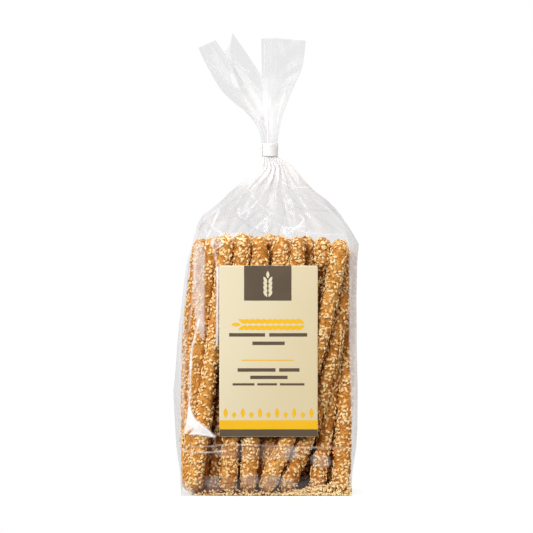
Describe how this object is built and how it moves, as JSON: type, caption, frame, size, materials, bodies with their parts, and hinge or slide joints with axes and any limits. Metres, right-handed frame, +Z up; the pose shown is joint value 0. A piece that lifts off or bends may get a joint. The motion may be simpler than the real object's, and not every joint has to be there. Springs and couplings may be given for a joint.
{
  "type": "bag of breadsticks",
  "caption": "Clear block-bottom film bag packed with upright sesame breadsticks, gathered and banded at the neck, with a paper front label.",
  "frame": {"origin": "the middle of the flat base, on the surface that the bag stands on", "axes": "+Z up along the breadsticks, +X to the right across the front panel, and the labelled front panel faces -Y"},
  "size_m": [0.1315, 0.0542, 0.3298],
  "materials": {
    "bag": "clear glossy film over golden-brown sesame breadsticks",
    "clear_film": "thin clear glossy film with sharp creases and a faint grey haze",
    "crust": "golden-brown baked wholemeal crust, matt with a fine crumb",
    "sesame": "toasted pale sesame seeds with a soft sheen",
    "neck_tape": "white paper band with a faint yellow glue line at its lap",
    "label_paper": "cream satin label paper",
    "label_dark": "grey-brown print",
    "label_yellow": "golden yellow print"
  },
  "bodies": {
    "root": {"bag": "bag", "neck_band": "neck_tape", "label": "label_paper"}
  },
  "joints": []
}
